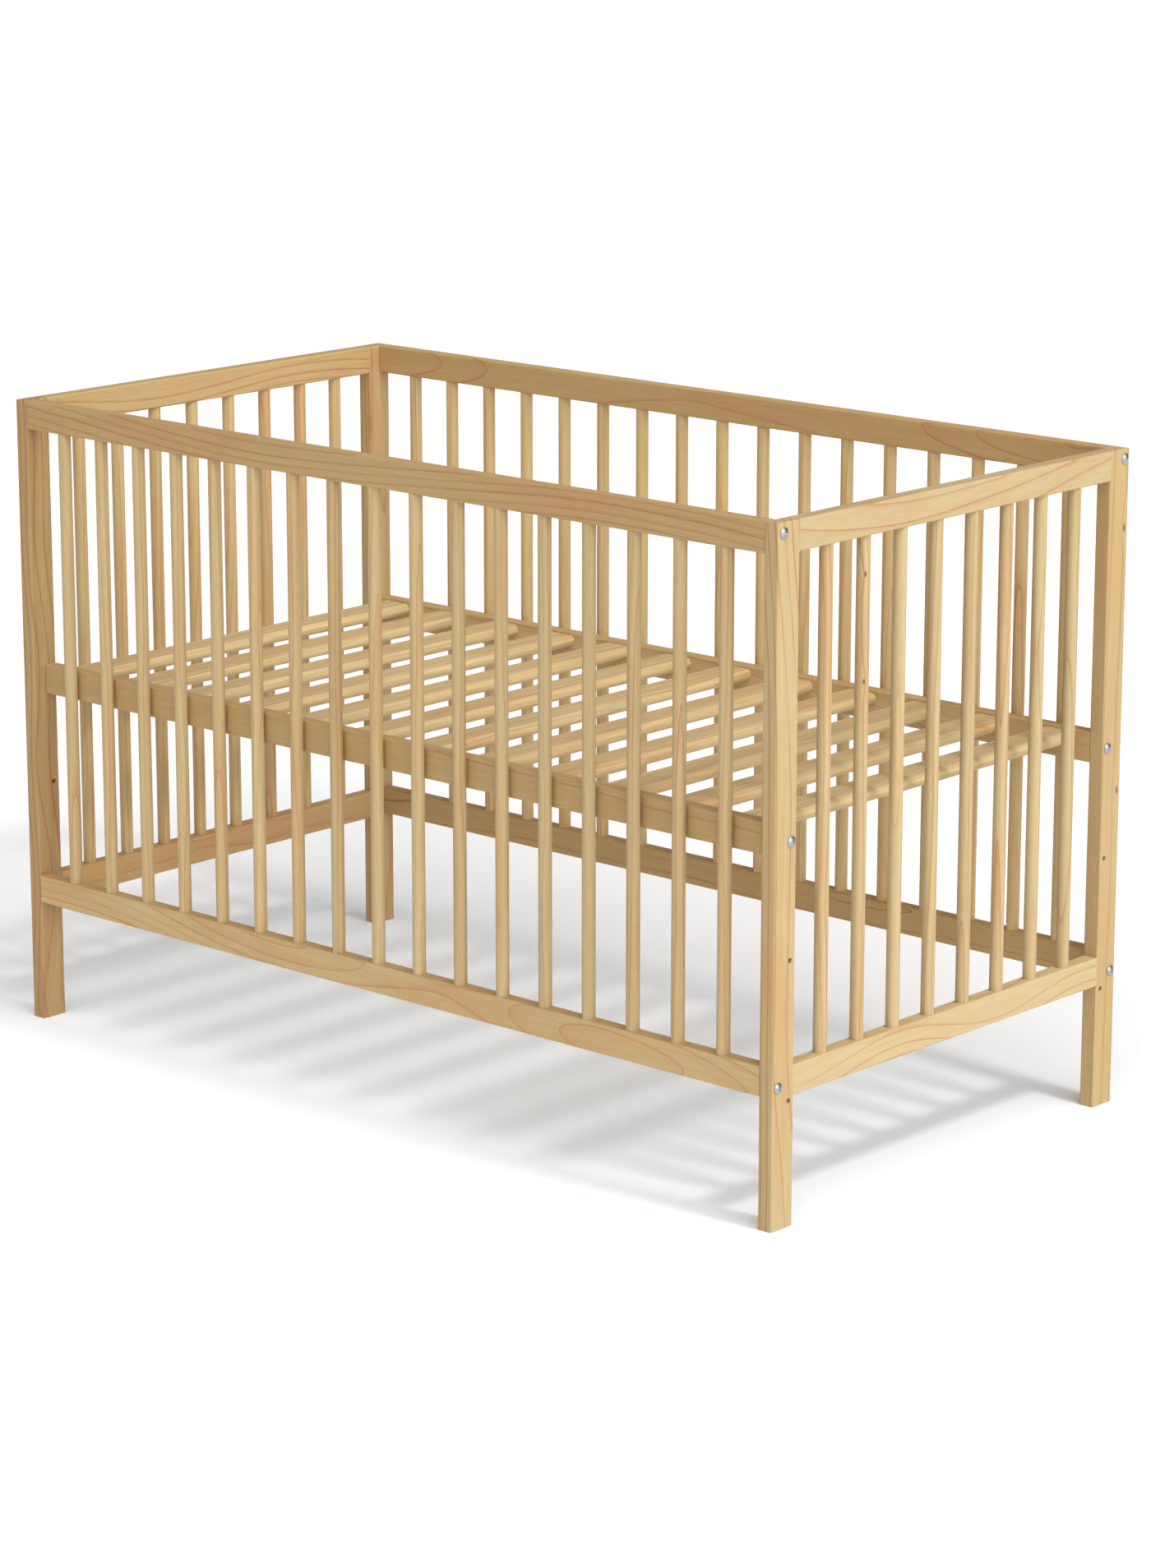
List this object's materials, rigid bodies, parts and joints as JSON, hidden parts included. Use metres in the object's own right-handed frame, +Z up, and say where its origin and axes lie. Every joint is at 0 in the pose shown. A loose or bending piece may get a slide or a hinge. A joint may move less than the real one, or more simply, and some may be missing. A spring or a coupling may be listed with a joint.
{
  "type": "baby crib",
  "caption": "Wooden baby crib with round spindles on all four sides, flat-rounded base slats, square-cut corner posts and spare bolt holes for lower mattress heights.",
  "frame": {"origin": "centre of the footprint, on the floor under the posts", "axes": "+X along the crib to the right end, +Y to the back long side, +Z up"},
  "size_m": [1.251, 0.647, 0.808],
  "materials": {
    "pine_rail": "clear satin lacquer on pale pine, long grain along each board",
    "pine_spindle": "clear satin lacquer on turned pale pine",
    "pine_slat": "clear satin lacquer on planed pale pine",
    "beech_dowel": "bare beech",
    "zinc_steel": "bright zinc plating"
  },
  "bodies": {
    "crib_frame": {"back_spindles": "pine_spindle", "base_inserts": "zinc_steel", "base_rail_back": "pine_rail", "base_rail_front": "pine_rail", "end_bottom_rail_left": "pine_rail", "end_bottom_rail_right": "pine_rail", "end_dowels": "beech_dowel", "end_top_rail_left": "pine_rail", "end_top_rail_right": "pine_rail", "front_spindles": "pine_spindle", "left_spindle_1": "pine_spindle", "left_spindle_2": "pine_spindle", "left_spindle_3": "pine_spindle", "left_spindle_4": "pine_spindle", "left_spindle_5": "pine_spindle", "left_spindle_6": "pine_spindle", "left_spindle_7": "pine_spindle", "left_spindle_8": "pine_spindle", "post_back_left": "pine_rail", "post_back_right": "pine_rail", "post_front_left": "pine_rail", "post_front_right": "pine_rail", "right_spindle_1": "pine_spindle", "right_spindle_2": "pine_spindle", "right_spindle_3": "pine_spindle", "right_spindle_4": "pine_spindle", "right_spindle_5": "pine_spindle", "right_spindle_6": "pine_spindle", "right_spindle_7": "pine_spindle", "right_spindle_8": "pine_spindle", "side_bolts": "zinc_steel", "side_bottom_rail_back": "pine_rail", "side_bottom_rail_front": "pine_rail", "side_dowels": "beech_dowel", "side_inserts": "zinc_steel", "side_top_rail_back": "pine_rail", "side_top_rail_front": "pine_rail", "slat_01": "pine_slat", "slat_02": "pine_slat", "slat_03": "pine_slat", "slat_04": "pine_slat", "slat_05": "pine_slat", "slat_06": "pine_slat", "slat_07": "pine_slat", "slat_08": "pine_slat", "slat_09": "pine_slat", "slat_10": "pine_slat", "slat_11": "pine_slat", "slat_12": "pine_slat"},
    "base_bolt_front_left_body": {"base_bolt_front_left": "zinc_steel"},
    "base_bolt_front_right_body": {"base_bolt_front_right": "zinc_steel"},
    "base_bolt_back_left_body": {"base_bolt_back_left": "zinc_steel"},
    "base_bolt_back_right_body": {"base_bolt_back_right": "zinc_steel"}
  },
  "joints": [
    {"name": "base_bolt_front_left_slide", "type": "slide", "parent": "crib_frame", "child": "base_bolt_front_left_body", "axis": [-1, 0, 0], "range_m": [0, 0.045]},
    {"name": "base_bolt_front_right_slide", "type": "slide", "parent": "crib_frame", "child": "base_bolt_front_right_body", "axis": [1, 0, 0], "range_m": [0, 0.045]},
    {"name": "base_bolt_back_left_slide", "type": "slide", "parent": "crib_frame", "child": "base_bolt_back_left_body", "axis": [-1, 0, 0], "range_m": [0, 0.045]},
    {"name": "base_bolt_back_right_slide", "type": "slide", "parent": "crib_frame", "child": "base_bolt_back_right_body", "axis": [1, 0, 0], "range_m": [0, 0.045]}
  ]
}
